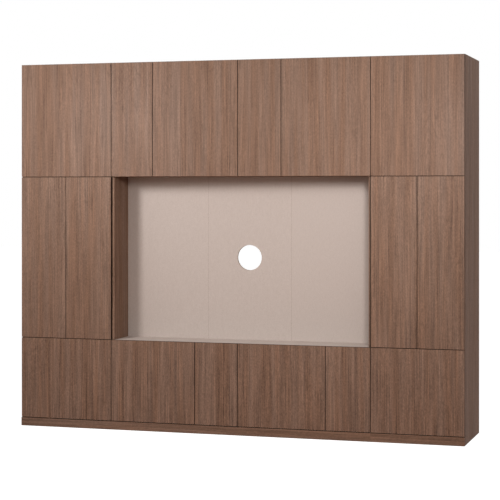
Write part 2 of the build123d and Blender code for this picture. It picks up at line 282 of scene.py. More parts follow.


# printed walnut laminate. A second tone comes on top of tone on faces that look along Y, as painted
# light, and faces that look along the shaded axes get painted shade in the dark edge colour
def walnutLaminate(name, grain, seed, tone=1.0, frontTone=1.0, bandedAxes=(), eased=False,
                   darkLines=(), flatBoards=False, contrast=1.0):
    material, tree, shader = newMaterial(name)
    shift = patternPlace(seed)
    veinShift = [value + 7.3 for value in shift]

    def cut(source, facts, shift=shift, roughness=0.5):
        across, along, detail = facts
        scaled = stretched(tree, source, grainScale(grain, across, along), shift)
        return noise(tree, scaled, detail, roughness)

    source = objectCoords(tree)
    if flatBoards:
        source = laidAlongX(tree, source)
    source = bent(tree, source, grain, cut(source, walnut["wanderNoise"]), walnut["wander"])

    shade = 0.5
    layers = []
    for across, along, strength in walnut["streaks"]:
        layers.append(cut(source, (across, along, walnut["streakDetail"])))
        reach = contrast * strength / 2
        shade = maths(tree, "ADD", ramp(tree, layers[-1], 0.0, 1.0, -reach, reach), shade)
    broad, line, pore = layers[0], layers[2], layers[4]

    # short dark wavering veins with soft ends, in loose groups
    ripple = cut(source, walnut["rippleNoise"], veinShift)
    wavering = bent(tree, source, grain, ripple, walnut["ripple"])
    vein = cut(wavering, walnut["veinNoise"], veinShift)
    vein = ramp(tree, vein, *walnut["veinRange"], 0.0, walnut["veins"])
    group = cut(source, walnut["veinGroupNoise"], veinShift)
    vein = maths(tree, "MULTIPLY", vein, ramp(tree, group, *walnut["veinGroupRange"]))

    # faint year rings in long narrow arches: contour lines of a slow noise
    figure = cut(source, walnut["figureNoise"], veinShift, 0.4)
    ring = maths(tree, "FRACT", maths(tree, "MULTIPLY", figure, walnut["figureRings"]))
    ring = ramp(tree, distance(tree, ring, 0.5), 0.0, walnut["figureLine"], 1.0, 0.0)
    group = cut(source, walnut["figureGroupNoise"])
    group = ramp(tree, group, *walnut["figureGroupRange"], 0.0, walnut["figure"])
    ring = maths(tree, "MULTIPLY", ring, group)

    tint = mixColour(tree, ramp(tree, broad, *walnut["warmToGrey"]), walnut["warm"], walnut["grey"])
    base = mixColour(tree, shade, walnut["darkest"], walnut["lightest"])
    base = mixColour(tree, 1.0, base, tint, "MULTIPLY")
    base = toned(tree, base, tone)
    base = mixColour(tree, maths(tree, "MAXIMUM", vein, ring), base, walnut["vein"])
    # painted light: faces that look along Y are painted lighter
    if frontTone != 1.0:
        base = mixColour(tree, looksAlong(tree, "Y"), base, toned(tree, base, frontTone))

    # narrow faces and slanted faces get painted shade in the dark edge colour, with a painted
    # highlight beside the rounded edges;
    # the outer ends of the unit get no painted shade, as no neighbour shades them
    spot = separated(tree, objectCoords(tree))
    shut = ramp(tree, maths(tree, "ABSOLUTE", spot["X"]), *walnut["openEnds"], 1.0, 0.0)
    if eased:
        film = edgeMask(tree, walnut["easedWidth"], walnut["easedStrength"])
        base = mixColour(tree, film, base, walnut["easedEdge"])
        square = maths(tree, "MAXIMUM", facing(tree, "Y"), facing(tree, "Z"))
        square = maths(tree, "MAXIMUM", facing(tree, "X"), square)
        slanted = maths(tree, "MULTIPLY", ramp(tree, square, 0.92, 0.8), shut)
        base = mixColour(tree, slanted, base, walnut["edge"])
    # painted shadow lines at the given heights
    for height in darkLines:
        away = distance(tree, spot["Z"], height)
        dark = ramp(tree, away, 0.0, walnut["darkLineWidth"], walnut["darkLineStrength"], 0.0)
        base = mixColour(tree, dark, base, walnut["edge"])
    for axis in bandedAxes:
        banded = looksAlong(tree, axis)
        if axis == "X":
            banded = maths(tree, "MULTIPLY", banded, shut)
        base = mixColour(tree, banded, base, walnut["edge"])
    tree.links.new(base, shader.inputs["Base Color"])

    # the embossed film loses its gloss at low angles
    angle = tree.nodes.new("ShaderNodeLayerWeight").outputs["Facing"]
    gloss = maths(tree, "POWER", maths(tree, "SUBTRACT", 1.0, angle), 2.0)
    gloss = maths(tree, "MULTIPLY", gloss, walnut["specular"])
    shader.inputs["Specular IOR Level"].default_value = walnut["specular"]
    tree.links.new(gloss, shader.inputs["Specular IOR Level"])
    middle, spread = walnut["roughness"], walnut["roughnessSpread"]
    roughness = ramp(tree, line, 0.2, 0.8, middle + spread, middle - spread)
    tree.links.new(roughness, shader.inputs["Roughness"])
    addBump(tree, shader, maths(tree, "ADD", pore, line), *walnut["bump"])
    return material


linen = {
    "light": colour(201, 188, 180),
    "dark": colour(184, 169, 160),
    "core": colour(150, 122, 92),
    "darkChip": colour(88, 66, 46),
    "joint": colour(140, 114, 96),
    "jointWidth": 0.0024,
    "threads": 520.0,    # per metre
    "threadStretch": 0.25,
    "cloudScale": (120, 120, 40),
    "chipScale": (350, 350, 350),
    "roughness": 0.62,
    "bump": (0.2, 0.0003),
}


# greige laminate with a printed linen weave; the wall of the cable hole shows the chipboard core
def linenLaminate(name, seed):
    material, tree, shader = newMaterial(name)
    source = objectCoords(tree)
    shift = patternPlace(seed)
    fine, slow = linen["threads"], linen["threads"] * linen["threadStretch"]
    warp = noise(tree, stretched(tree, source, (fine, fine, slow), shift), 2.0, 0.6)
    weft = noise(tree, stretched(tree, source, (slow, slow, fine), shift), 2.0, 0.6)
    cloud = noise(tree, stretched(tree, source, linen["cloudScale"], shift), 3.0, 0.6)
    weave = maths(tree, "ADD", warp, weft)
    light = ramp(tree, weave, 0.7, 1.3, 0.0, 0.75)
    light = maths(tree, "ADD", light, ramp(tree, cloud, 0.3, 0.7, 0.0, 0.3))
    base = mixColour(tree, light, linen["dark"], linen["light"])
    base = mixColour(tree, edgeMask(tree, linen["jointWidth"], 1.0), base, linen["joint"])
    if name.endswith("centre"):
        chips = noise(tree, stretched(tree, source, linen["chipScale"], shift), 3.0, 0.7)
        chips = ramp(tree, chips, 0.3, 0.7, 0.4, 1.0)
        core = mixColour(tree, chips, linen["darkChip"], linen["core"])
        base = mixColour(tree, ramp(tree, facing(tree, "Y"), 0.7, 0.3), base, core)
    tree.links.new(base, shader.inputs["Base Color"])
    shader.inputs["Roughness"].default_value = linen["roughness"]
    addBump(tree, shader, weave, *linen["bump"])
    return material


steel = {
    "brushScale": (900, 2600, 900),
    "cloudScale": (90, 90, 90),
    "cloudTone": 0.8,
    "bump": (0.1, 0.0001),
}


# pressed steel with a fine brushed look, for hinges and pins
def platedSteel(name, tint, roughness):
    material, tree, shader = newMaterial(name)
    source = objectCoords(tree)
    brushed = noise(tree, stretched(tree, source, steel["brushScale"]), 3.0, 0.6)
    cloud = noise(tree, stretched(tree, source, steel["cloudScale"]), 3.0, 0.6)
    base = mixColour(tree, ramp(tree, cloud, 0.3, 0.7), tint, scaledColour(tint, steel["cloudTone"]))
    tree.links.new(base, shader.inputs["Base Color"])
    shader.inputs["Metallic"].default_value = 1.0
    rough = ramp(tree, brushed, 0.25, 0.75, roughness - 0.06, roughness + 0.1)
    tree.links.new(rough, shader.inputs["Roughness"])
    addBump(tree, shader, brushed, *steel["bump"])
    return material


plastic = {
    "grainScale": (1800, 1800, 1800),
    "cloudScale": (30, 30, 30),
    "cloudTone": 1.15,
    "roughnessSpread": 0.08,
    "bump": (0.2, 0.0002),
}


# moulded plastic with a fine spark-eroded grain
def mouldedPlastic(name, tint, roughness):
    material, tree, shader = newMaterial(name)
    source = objectCoords(tree)
    grain = noise(tree, stretched(tree, source, plastic["grainScale"]))
    cloud = noise(tree, stretched(tree, source, plastic["cloudScale"]))
    base = mixColour(tree, ramp(tree, cloud, 0.3, 0.7), tint, scaledColour(tint, plastic["cloudTone"]))
    tree.links.new(base, shader.inputs["Base Color"])
    spread = plastic["roughnessSpread"]
    rough = ramp(tree, grain, 0.3, 0.7, roughness - spread, roughness + spread)
    tree.links.new(rough, shader.inputs["Roughness"])
    addBump(tree, shader, grain, *plastic["bump"])
    return material


wood = {
    "rings": (60.0, 2.5),    # per metre across the grain and along it
    "fibres": (420.0, 12.0),
    "fibreStrength": 0.4,
    "roughness": 0.7,
    "bump": (0.3, 0.0003),
}


# raw wood for the pieces that nobody sees from the room
def rawWood(name, grain, light, dark):
    material, tree, shader = newMaterial(name)
    source = objectCoords(tree)
    rings = noise(tree, stretched(tree, source, grainScale(grain, *wood["rings"])), 4.0, 0.6, 0.6)
    fibre = noise(tree, stretched(tree, source, grainScale(grain, *wood["fibres"])), 3.0, 0.6)
    base = mixColour(tree, ramp(tree, rings, 0.35, 0.65), dark, light)
    base = mixColour(tree, ramp(tree, fibre, 0.55, 0.75, 0.0, wood["fibreStrength"]), base, dark)
    tree.links.new(base, shader.inputs["Base Color"])
    shader.inputs["Roughness"].default_value = wood["roughness"]
    addBump(tree, shader, fibre, *wood["bump"])
    return material


def dress(name, material):
    piece = nodes[name]
    piece.data.materials.clear()
    piece.data.materials.append(material)


# every board has its own cut of the laminate
def dressWalnut(names, grain, firstSeed, **facts):
    for index, name in enumerate(names):
        dress(name, walnutLaminate(name + "_laminate", grain, firstSeed + index, **facts))


boardTones = {
    "carcass": 0.92,
    "shelf": 0.95,
    "plinth": 0.97,
    "lining": 0.85,
    # painted light on the linings' front faces
    "liningFront": 1.45,
    # painted shade for the rebate's faces
    "rebate": 0.22,
}

doorNames = sorted(name for name in nodes if "_door_" in name and not name.endswith("_cups"))
plinthNames = sorted(name for name in nodes if name.startswith("plinth_"))
sideNames = sorted(name for name in nodes if name.endswith("_side"))
cabinetNames = ("upper_cabinet_left", "upper_cabinet_right", "base_cabinet_left", "base_cabinet_right")
liningNames = ("niche_lining_left", "niche_lining_right")
deckNames = ("left_tower_decks", "right_tower_decks")

# doors: painted shade on their narrow and slanted faces, with a painted highlight along the rounded
# edges
for index, name in enumerate(doorNames):
    row = next(row for row in walnut["contrast"] if row in name)
    dressWalnut([name], "Z", 100 + index, bandedAxes=("X", "Z"), eased=True,
                contrast=walnut["contrast"][row])
# plinth boards: painted shade on their ends, top and bottom faces, and painted shadow lines along
# their long edges
for index, name in enumerate(plinthNames):
    dressWalnut([name], "X", 200 + index, tone=boardTones["plinth"], bandedAxes=("X", "Z"),
                darkLines=[corner[2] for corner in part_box(name)])
# carcass boards: painted shade on the narrow faces that are seen in the gaps
carcass = boardTones["carcass"]
dressWalnut(sideNames, "Z", 300, tone=carcass, bandedAxes=("Y", "Z"))
# the linings' front faces are painted lighter, as painted light
dressWalnut(liningNames, "Z", 320, tone=boardTones["lining"], frontTone=boardTones["liningFront"])
dressWalnut(cabinetNames, "Z", 340, tone=carcass, bandedAxes=("Y",), flatBoards=True)
dressWalnut(deckNames, "X", 360, tone=carcass, bandedAxes=("Y",))
dress("loose_shelves", walnutLaminate("shelf_laminate", "X", 370, tone=boardTones["shelf"]))
print("walnut laminate on the boards")

for index, name in enumerate(("niche_panel_left", "niche_panel_centre", "niche_panel_right")):
    dress(name, linenLaminate(name, 400 + index))
dress("niche_sill", linenLaminate("niche_sill", 410))
dress("back_boards", rawWood("hardboard", "Z", colour(146, 118, 92), colour(118, 92, 70)))
for name, label, grain in (("wall_rails", "rail_wood", "X"), ("niche_posts", "post_wood", "Z")):
    dress(name, rawWood(label, grain, colour(205, 178, 138), colour(172, 138, 98)))
print("niche panels, backs and rails dressed")

nickel = platedSteel("nickel", colour(196, 192, 184), 0.3)
zinc = platedSteel("zinc", colour(186, 186, 184), 0.42)
blackPlastic = mouldedPlastic("black_plastic", colour(36, 36, 37), 0.5)
greyPlastic = mouldedPlastic("grey_plastic", colour(178, 178, 176), 0.45)
clearRubber = mouldedPlastic("bumper_rubber", colour(206, 204, 198), 0.3)

flat = Matrix.Rotation(math.radians(90), 4, "X")    # lays a shape made in XY into XZ
towardsX = Matrix.Rotation(math.radians(-90), 4, "Z")    # turns what looks along Y to look along X


def place(x, y, z):
    return Matrix.Translation((x, y, z))


# a seat whose X looks to one side, 1 or -1
def seatAt(x, y, z, side):
    return place(x, y, z) @ Matrix.Diagonal((side, 1, 1, 1))


# the lowest and highest corners of each separate solid in a CAD node
def solidBoxes(name):
    mesh = bmesh.new()
    mesh.from_mesh(nodes[name].data)
    bmesh.ops.remove_doubles(mesh, verts=mesh.verts, dist=1e-6)
    seen = set()
    boxes = []
    for first in mesh.verts:
        if first in seen:
            continue
        seen.add(first)
        waiting = [first]
        points = []
        while waiting:
            vert = waiting.pop()
            points.append(vert.co.copy())
            for edge in vert.link_edges:
                other = edge.other_vert(vert)
                if other not in seen:
                    seen.add(other)
                    waiting.append(other)
        boxes.append([Vector([pick(values) for values in zip(*points)]) for pick in (min, max)])
    mesh.free()
    return boxes


def hingeLine(door):
    return next(joint["pos_m"][0] for joint in joints if joint["child"] == door)


def bevel(mesh, geom, width, segments=2, affect="EDGES"):
    bmesh.ops.bevel(mesh, geom=geom, offset=width, offset_type="OFFSET", affect=affect,
                    segments=segments, profile=0.5, material=-1)


# extrudes some faces, moves what is new and returns its corners
def drawOut(mesh, faces, move):
    made = bmesh.ops.extrude_face_region(mesh, geom=faces)["geom"]
    verts = [part for part in made if isinstance(part, bmesh.types.BMVert)]
    bmesh.ops.translate(mesh, verts=verts, vec=move)
    return verts


def sheetFrom(mesh, points):
    return mesh.faces.new([mesh.verts.new(point) for point in points])


# the edges that lie in a plane across Y
def edgesAt(mesh, y):
    return [edge for edge in mesh.edges if all(abs(vert.co.y - y) < 1e-6 for vert in edge.verts)]


# a ring turned round the Y axis from pairs of radius and height
def turned(profile, segments):
    mesh = bmesh.new()
    verts = [mesh.verts.new((radius, height, 0)) for radius, height in profile]
    edges = [mesh.edges.new(pair) for pair in zip(verts, verts[1:])]
    bmesh.ops.spin(mesh, geom=verts + edges, cent=(0, 0, 0), axis=(0, 1, 0), dvec=(0, 0, 0),
                   angle=math.tau, steps=segments, use_merge=True)
    bmesh.ops.remove_doubles(mesh, verts=mesh.verts, dist=1e-6)
    return mesh


# a flat sheet in XZ with round corners
def roundedSheet(halfX, halfZ, corner, segments):
    mesh = bmesh.new()
    bmesh.ops.create_grid(mesh, x_segments=1, y_segments=1, size=1.0, matrix=flat)
    bmesh.ops.scale(mesh, verts=mesh.verts, vec=(halfX, 1, halfZ))
    bevel(mesh, mesh.verts[:], corner, segments, "VERTICES")
    return mesh


# a plate in XZ with round corners, from y = 0 up to its thickness, with a soft upper edge
def roundedPlate(halfX, halfZ, corner, thickness, soft):
    mesh = roundedSheet(halfX, halfZ, corner, 5)
    drawOut(mesh, mesh.faces[:], (0, thickness, 0))
    bevel(mesh, [edge for edge in edgesAt(mesh, thickness) if edge.calc_face_angle(0.0) > 0.5], soft)
    return mesh


# a bar with a rectangular section and softened edges
def softBar(size, width):
    mesh = bmesh.new()
    bmesh.ops.create_cube(mesh, size=1.0)
    bmesh.ops.scale(mesh, verts=mesh.verts, vec=size)
    bevel(mesh, mesh.edges[:], width)
    return mesh


crossHead = {
    "sides": 12,
    "slot": 0.6,    # half length of the cross, as a share of the head's radius
    "shoulder": 0.4,    # height of the head's rim, as a share of its height
    "pit": 1.1,
    "pitTaper": 0.7,
}


# a cross-head screw that looks along Y, sunk a little into its seat
def screwHead(radius, height):
    mesh = bmesh.new()
    slot = radius * crossHead["slot"]
    top = place(0, height, 0) @ flat
    bmesh.ops.create_grid(mesh, x_segments=3, y_segments=3, size=slot, matrix=top)
    middles = {face: face.calc_center_median() for face in mesh.faces}
    corners = [face for face, spot in middles.items() if min(abs(spot.x), abs(spot.z)) > slot / 3]
    bmesh.ops.delete(mesh, geom=corners, context="FACES")
    cross = mesh.faces[:]
    rim = [edge for edge in mesh.edges if edge.is_boundary]
    seat = place(0, height * crossHead["shoulder"], 0) @ flat
    turn = Matrix.Rotation(math.pi / crossHead["sides"], 4, "Z")
    bmesh.ops.create_circle(mesh, segments=crossHead["sides"], radius=radius, matrix=seat @ turn)
    ring = [edge for edge in mesh.edges if edge.is_wire]
    bmesh.ops.bridge_loops(mesh, edges=rim + ring)
    skirt = bmesh.ops.extrude_edge_only(mesh, edges=ring)["geom"]
    verts = [part for part in skirt if isinstance(part, bmesh.types.BMVert)]
    bmesh.ops.translate(mesh, verts=verts, vec=(0, -height, 0))
    edges = [part for part in skirt if isinstance(part, bmesh.types.BMEdge)]
    bmesh.ops.edgeloop_fill(mesh, edges=edges)
    verts = drawOut(mesh, cross, (0, -height * crossHead["pit"], 0))
    taper = crossHead["pitTaper"]
    bmesh.ops.scale(mesh, verts=verts, vec=(taper, 1, taper))
    return mesh


# puts copies of some small shapes together, each with its list of places
def assemble(groups):
    whole = bmesh.new()
    for shape, places in groups:
        cast = bpy.data.meshes.new("cast")
        shape.to_mesh(cast)
        shape.free()
        for matrix in places:
            count = len(whole.verts)
            whole.from_mesh(cast)
            whole.verts.ensure_lookup_table()
            bmesh.ops.transform(whole, matrix=matrix, verts=whole.verts[count:])
        bpy.data.meshes.remove(cast)
    return whole


def newObject(name, data):
    made = bpy.data.objects.new(name, data)
    bpy.context.scene.collection.objects.link(made)
    return made


def finishPiece(mesh, name, material, body, replaced=None):
    bmesh.ops.recalc_face_normals(mesh, faces=mesh.faces)
    data = bpy.data.meshes.new(name)
    mesh.to_mesh(data)
    mesh.free()
    data.shade_smooth()
    data.set_sharp_from_angle(angle=math.radians(35))
    data.materials.append(material)
    piece = newObject(name, data)
    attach(piece, body)
    if replaced:
        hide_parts(replaced)
    return piece


hingeCup = {
    "radius": 0.0173,
    "depth": 0.0116,
    "wall": 0.0013,
    "rimHeight": 0.0014,
    "sides": 28,
    "flangeHalf": (0.019, 0.029),
    "flangeCorner": 0.009,
    "flangeThickness": 0.001,
    "flangeLap": 0.0007,    # how far the flange runs in under the cup's rim
    "screwPlace": (0.0095, 0.0225),    # from the cup's middle, along X and up or down
    "screwRadius": 0.0036,
    "screwHeight": 0.0007,
    "links": (-0.0048, 0.0016),    # the middles of the two folded links, along X
    "linkSize": (0.0026, 0.0108, 0.009),
    "linkMiddle": -0.0041,
    "linkEdge": 0.0007,
    "pinRadius": 0.0015,
    "pinHalf": 0.0065,
    "pinPlaces": (-0.0071, -0.0011),
    "pinSides": 12,
}


def buildFlange():
    mesh = roundedSheet(*hingeCup["flangeHalf"], hingeCup["flangeCorner"], 6)
    bmesh.ops.delete(mesh, geom=mesh.faces[:], context="FACES_ONLY")
    inner = hingeCup["radius"] - hingeCup["flangeLap"]
    bmesh.ops.create_circle(mesh, segments=hingeCup["sides"], radius=inner, matrix=flat)
    bmesh.ops.bridge_loops(mesh, edges=mesh.edges[:])
    drawOut(mesh, mesh.faces[:], (0, hingeCup["flangeThickness"], 0))
    return mesh


def buildCupShell():
    radius, depth, wall, rim = (hingeCup[key] for key in ("radius", "depth", "wall", "rimHeight"))
    inner = radius - wall
    outside = [(0, -depth), (radius - 0.003, -depth), (radius - 0.0008, -depth + 0.0008),
               (radius, -depth + 0.003), (radius, 0.0004), (radius + 0.0007, rim - 0.0002)]
    inside = [(radius, rim), (inner + 0.0002, rim - 0.0004), (inner, rim - 0.0012),
              (inner, -depth + 0.0036), (inner - 0.0018, -depth + wall), (0, -depth + wall)]
    return turned(outside + inside, hingeCup["sides"])


# one door's cups: pressed shell and flange, folded links with their pins, and two screws each
def buildCups(door):
    name = door + "_cups"
    hingeX = hingeLine(door)
    flangeHigh = 2 * hingeCup["flangeHalf"][1]
    thickness = hingeCup["flangeThickness"]
    seats = []
    for low, high in solidBoxes(name):
        if high.z - low.z > 0.9 * flangeHigh:    # the node's flanges, not what is in the cups
            middle = (low + high) / 2
            side = 1 if middle.x > hingeX else -1
            seats.append(seatAt(middle.x, high.y - thickness, middle.z, side))
    across, updown = hingeCup["screwPlace"]
    screw = screwHead(hingeCup["screwRadius"], hingeCup["screwHeight"])
    screwSeats = [seat @ place(across, thickness, z) for seat in seats for z in (-updown, updown)]
    groups = [(buildFlange(), seats), (buildCupShell(), seats), (screw, screwSeats)]
    half, radius = hingeCup["pinHalf"], hingeCup["pinRadius"]
    for x in hingeCup["links"]:
        bar = softBar(hingeCup["linkSize"], hingeCup["linkEdge"])
        groups.append((bar, [seat @ place(x, hingeCup["linkMiddle"], 0) for seat in seats]))
        pin = turned([(0, -half), (radius, -half), (radius, half), (0, half)], hingeCup["pinSides"])
        pinSeats = [seat @ place(x, y, 0) @ flat for seat in seats for y in hingeCup["pinPlaces"]]
        groups.append((pin, pinSeats))
    finishPiece(assemble(groups), door + "_hinge_cups", nickel, door, name)


hingeArm = {
    "width": 0.015,
    "bottom": 0.007,    # heights over the board's face, as in the CAD
    "top": 0.0135,
    "noseRise": 0.007,
    "front": 0.0016,    # distances behind the carcass front
    "noseEnd": 0.0236,
    "rear": 0.0616,
    "wall": 0.0016,
    "softEdge": 0.0011,
    "screws": ((0.0335, 0.0027), (0.0465, 0.0036)),    # distance behind the front, radius
    "screwHeight": 0.0009,
    "rivets": ((0.0162, 0.0052), (0.0133, 0.0142)),
    "rivetRadius": 0.0017,
    "rivetEasing": (0.0005, 0.0004),
    "rivetReach": 0.0006,    # past the channel's side
    "lever": (0.0014, 0.0075, 0.0095),
    "leverEdge": 0.0005,
    "leverPlace": 0.0567,
}


# a folded steel channel with a cranked nose; local x is the height over the board's face
def buildArmBody():
    width, rise = hingeArm["width"], hingeArm["noseRise"]
    bottom, top = hingeArm["bottom"], hingeArm["top"]
    front, noseEnd, rear = (hingeArm[key] for key in ("front", "noseEnd", "rear"))
    profile = [(bottom + rise, front), (top + rise, front), (top, noseEnd),
               (top, rear), (bottom, rear), (bottom, noseEnd)]
    mesh = bmesh.new()
    side = sheetFrom(mesh, [(height, y, -width / 2) for height, y in profile])
    drawOut(mesh, [side], (0, 0, width))
    bmesh.ops.recalc_face_normals(mesh, faces=mesh.faces)
    under = [face for face in mesh.faces if face.normal.x < -0.99]
    bmesh.ops.inset_region(mesh, faces=under, thickness=hingeArm["wall"], use_even_offset=True)
    drawOut(mesh, under, (top - bottom - hingeArm["wall"], 0, 0))
    edges = [edge for edge in mesh.edges
             if all(abs(abs(vert.co.z) - width / 2) < 1e-6 for vert in edge.verts)
             and edge.calc_face_angle(0.0) > 0.3]
    bevel(mesh, edges, hingeArm["softEdge"], 3)
    return mesh


hingePlate = {
    "wingHalf": (0.0085, 0.025),
    "wingCorner": 0.006,
    "wingThickness": 0.0025,
    "wingEdge": 0.0005,
    "saddleHalf": (0.023, 0.0065),
    "saddleCorner": 0.003,
    "saddleHeight": 0.007,
    "saddleEdge": 0.0008,
    "screwRise": 0.016,
    "screwRadius": 0.0042,
    "screwHeight": 0.0011,
}


# the mounting plates stand on the boards' inner faces; returns their places
def buildPlates():
    arms = [(low + high) / 2 for low, high in solidBoxes("hinge_arms")]
    seats = []
    for low, high in solidBoxes("hinge_plates"):
        middle = (low + high) / 2
        arm = min(arms, key=lambda other: (other - middle).length)
        side = 1 if arm.x > middle.x else -1
        seats.append(seatAt(low.x if side > 0 else high.x, middle.y, middle.z, side))
    facts = hingePlate
    thickness, rise = facts["wingThickness"], facts["screwRise"]
    wing = roundedPlate(*facts["wingHalf"], facts["wingCorner"], thickness, facts["wingEdge"])
    saddle = roundedPlate(*facts["saddleHalf"], facts["saddleCorner"], facts["saddleHeight"],
                          facts["saddleEdge"])
    screw = screwHead(facts["screwRadius"], facts["screwHeight"])
    screwSeats = [seat @ place(thickness, 0, z) @ towardsX for seat in seats for z in (-rise, rise)]
    turnedSeats = [seat @ towardsX for seat in seats]
    groups = [(wing, turnedSeats), (saddle, turnedSeats), (screw, screwSeats)]
    finishPiece(assemble(groups), "hinge_mounting_plates", nickel, "cabinet", "hinge_plates")
    return seats


# every mounting plate carries an arm with its screws, rivets and release lever
def buildArms(plates):
    facts = hingeArm
    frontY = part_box("hinge_arms")[0][1] - facts["front"]
    seats = [seatAt(plate.translation.x, frontY, plate.translation.z, plate[0][0]) for plate in plates]
    groups = [(buildArmBody(), seats)]
    for y, radius in facts["screws"]:
        screw = screwHead(radius, facts["screwHeight"])
        groups.append((screw, [seat @ place(facts["top"], y, 0) @ towardsX for seat in seats]))
    end, radius = facts["width"] / 2 + facts["rivetReach"], facts["rivetRadius"]
    inwards, along = facts["rivetEasing"]
    for height, y in facts["rivets"]:
        rivet = turned([(0, -end), (radius - inwards, -end), (radius, -end + along),
                        (radius, end - along), (radius - inwards, end), (0, end)], 12)
        groups.append((rivet, [seat @ place(height, y, 0) @ flat for seat in seats]))
    lever = softBar(facts["lever"], facts["leverEdge"])
    leverX = facts["top"] + facts["leverEdge"]
    groups.append((lever, [seat @ place(leverX, facts["leverPlace"], 0) for seat in seats]))
    finishPiece(assemble(groups), "hinge_arm_channels", nickel, "cabinet", "hinge_arms")


latch = {
    "shortestHousing": 0.04,
    "softEdge": 0.0014,
    "collarRadius": 0.0055,
    "collarLength": 0.0012,
    "plungerRadius": 0.0038,
    "easing": 0.0004,
    "sides": 20,
    "screwRadius": 0.0032,
    "screwHeight": 0.0006,
    "screwSetBack": 0.012,
    "deckTurn": 1.65,    # latches above this height stand on a deck, those below hang under one
}


# push latches: a moulded housing, its screw, a collar and the round plunger
def buildLatches():
    housings = []
    plungers = []
    for low, high in solidBoxes("push_latches"):
        (housings if high.y - low.y > latch["shortestHousing"] else plungers).append((low, high))
    size = housings[0][1] - housings[0][0]
    middles = [(low + high) / 2 for low, high in housings]
    fronts = [place(middle.x, low.y, middle.z) for middle, (low, high) in zip(middles, housings)]
    radius, reach, easing = latch["collarRadius"], latch["collarLength"], latch["easing"]
    collar = turned([(0, 0), (radius, 0), (radius, -reach + easing), (radius - easing, -reach),
                     (0, -reach)], latch["sides"])
    radius, reach = latch["plungerRadius"], plungers[0][1].y - plungers[0][0].y
    rod = turned([(0, 0.002), (radius, 0.002), (radius, -reach + 0.001),
                  (radius - 0.0004, -reach + 0.0002), (radius - 0.0012, -reach), (0, -reach)],
                 latch["sides"])
    # the screw is on the side away from the deck
    seats = []
    for middle in middles:
        up = 1 if middle.z > latch["deckTurn"] else -1
        quarter = Matrix.Rotation(math.radians(90 * up), 4, "X")
        seat = place(middle.x, middle.y + latch["screwSetBack"], middle.z + up * size.z / 2)
        seats.append(seat @ quarter)
    screw = screwHead(latch["screwRadius"], latch["screwHeight"])
    housing = softBar(size, latch["softEdge"])
    groups = [(housing, [place(*middle) for middle in middles]), (collar, fronts), (rod, fronts),
              (screw, seats)]
    finishPiece(assemble(groups), "push_latch_bodies", greyPlastic, "cabinet",
                "push_latches")


bumper = {
    "radius": 0.004,
    "height": 0.0018,
    "profileShares": ((0, 0), (1, 0), (0.98, 0.35), (0.8, 0.72), (0.45, 0.94), (0, 1)),
    "sides": 20,
    "fromEdge": 0.0095,
    "fromEnd": 0.0075,
}


# two soft domes near the free corners of every door's back
def buildBumpers(door):
    low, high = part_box(door)
    hingeX = hingeLine(door)
    leftHung = abs(hingeX - low[0]) < abs(hingeX - high[0])
    x = high[0] - bumper["fromEdge"] if leftHung else low[0] + bumper["fromEdge"]
    radius, height = bumper["radius"], bumper["height"]
    profile = [(radius * out, height * up) for out, up in bumper["profileShares"]]
    dome = turned(profile, bumper["sides"])
    seats = [place(x, high[1], z) for z in (low[2] + bumper["fromEnd"], high[2] - bumper["fromEnd"])]
    finishPiece(assemble([(dome, seats)]), door + "_bumpers", clearRubber, door)


shelfPin = {
    "stemRadius": 0.0024,
    "stemEasing": 0.0005,
    "collarRadius": 0.0036,
    "collarLength": 0.0008,
    "sides": 16,
    "softEdge": 0.0006,
}


boardThickness = 0.018


# the faces of the boards that the shelf pins stand in
def pinFaces():
    faces = []
    for name in sideNames:
        faces += [corner[0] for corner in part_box(name)]
    for name in cabinetNames:
        low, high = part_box(name)
        faces += [low[0] + boardThickness, high[0] - boardThickness]
    return faces


# round stems in the boards, each with a flat tongue under the shelf
def buildPins():
    faces = pinFaces()
    stems = []
    tongues = []
    sizes = []
    for low, high in solidBoxes("shelf_pins"):
        middle = (low + high) / 2
        nearest = min(faces, key=lambda face: abs(face - middle.x))
        side = 1 if middle.x > nearest else -1
        tongue = abs((high.x if side > 0 else low.x) - nearest)
        sizes.append((tongue, high - low))
        tongues.append(place(nearest + side * tongue / 2, middle.y, middle.z))
        stems.append(seatAt(nearest, middle.y, middle.z, side) @ towardsX)
    tongue, size = sizes[0]
    reach, radius, easing = size.x - tongue, shelfPin["stemRadius"], shelfPin["stemEasing"]
    collar, collarEnd = shelfPin["collarRadius"], shelfPin["collarLength"]
    stem = turned([(0, -reach), (radius - easing, -reach), (radius, -reach + easing), (radius, 0),
                   (collar, 0), (collar, collarEnd), (0, collarEnd)], shelfPin["sides"])
    bar = softBar((tongue, size.y, size.z), shelfPin["softEdge"])
    groups = [(bar, tongues), (stem, stems)]
    finishPiece(assemble(groups), "shelf_pin_set", zinc, "cabinet", "shelf_pins")


foot = {
    "padRadius": 0.028,
    "padHeight": 0.008,
    "neckRadius": 0.013,
    "stemRadius": 0.0095,
    "threads": 9,
    "threadDepth": 0.0012,
    "socketRadius": 0.019,
    "socketHeight": 0.009,
    "socketEasing": 0.003,
    "sides": 32,
    "ribs": 12,
    "ribSize": (0.0016, 0.004, 0.012),
    "ribEdge": 0.0004,
    "ribPlace": (0.0085, 0.019),    # height, and distance from the stem's middle
    "clipped": 0.06,    # a foot that is deeper than this has a plinth clip
    "clipWidth": 0.014,
    "clipThickness": 0.010,
    "clipHeight": 0.029,
    "clipEdge": 0.001,
}


